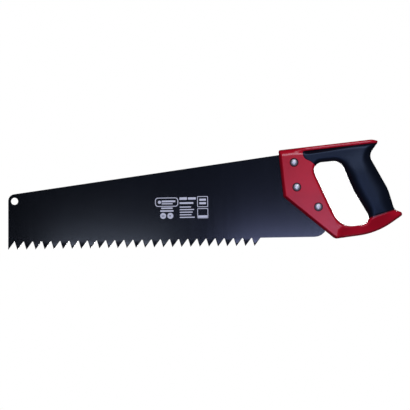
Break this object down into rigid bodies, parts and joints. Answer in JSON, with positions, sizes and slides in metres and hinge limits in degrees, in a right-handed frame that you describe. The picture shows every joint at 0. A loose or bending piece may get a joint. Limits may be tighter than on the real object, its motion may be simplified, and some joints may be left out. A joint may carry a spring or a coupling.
{
  "type": "handsaw",
  "caption": "Handsaw with a long tapering coarse-toothed black blade and a closed red handle with a black soft grip.",
  "frame": {"origin": "centre of the hand grip, on the blade's middle plane", "axes": "+X from the toe towards the hand, along the tooth line; +Z from the teeth towards the back; Y across the blade, screw heads on the -Y side"},
  "size_m": [0.5586, 0.031, 0.1478],
  "materials": {
    "blade_coating": "satin black low-friction coating",
    "handle_plastic": "red moulded plastic, soft gloss",
    "grip_rubber": "black soft-touch overmould, matt",
    "zinc": "bright zinc plate",
    "blade_print": "thin white ink on the blade"
  },
  "bodies": {
    "root": {"blade": "blade_coating", "handle_core": "handle_plastic", "grip_overmould": "grip_rubber", "upper_screw": "zinc", "middle_screw": "zinc", "lower_screw": "zinc", "upper_sleeve_nut": "zinc", "middle_sleeve_nut": "zinc", "lower_sleeve_nut": "zinc"}
  },
  "joints": []
}
